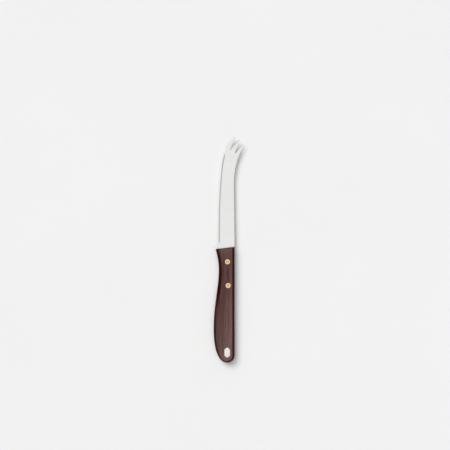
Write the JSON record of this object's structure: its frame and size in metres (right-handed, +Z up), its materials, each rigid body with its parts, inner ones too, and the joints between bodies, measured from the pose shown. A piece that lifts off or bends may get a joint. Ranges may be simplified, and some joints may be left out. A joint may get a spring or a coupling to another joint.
{
  "type": "citrus knife",
  "caption": "Saw-edged kitchen knife whose blade curves into a forked tip, riveted into a one-piece wooden handle, for slicing soft fruit and lifting the slices.",
  "frame": {"origin": "bottom centre of the bounding box, on the surface that the knife lies on with its right face down", "axes": "+Y along the knife from the butt to the fork, -X towards the cutting edge, +Z up out of the left face"},
  "size_m": [0.0298, 0.2202, 0.0121],
  "materials": {
    "steel": "satin, finely brushed along the blade",
    "wood": "satin oiled dark reddish-brown wood",
    "pin_brass": "ground flush and lightly polished",
    "washer_brass": "ground flush and polished",
    "badge": "plain white, semi-gloss"
  },
  "bodies": {
    "root": {"blade": "steel", "handle": "wood", "front_pin": "pin_brass", "front_washer_left": "washer_brass", "front_washer_right": "washer_brass", "rear_pin": "pin_brass", "rear_washer_left": "washer_brass", "rear_washer_right": "washer_brass", "badge": "badge"}
  },
  "joints": []
}
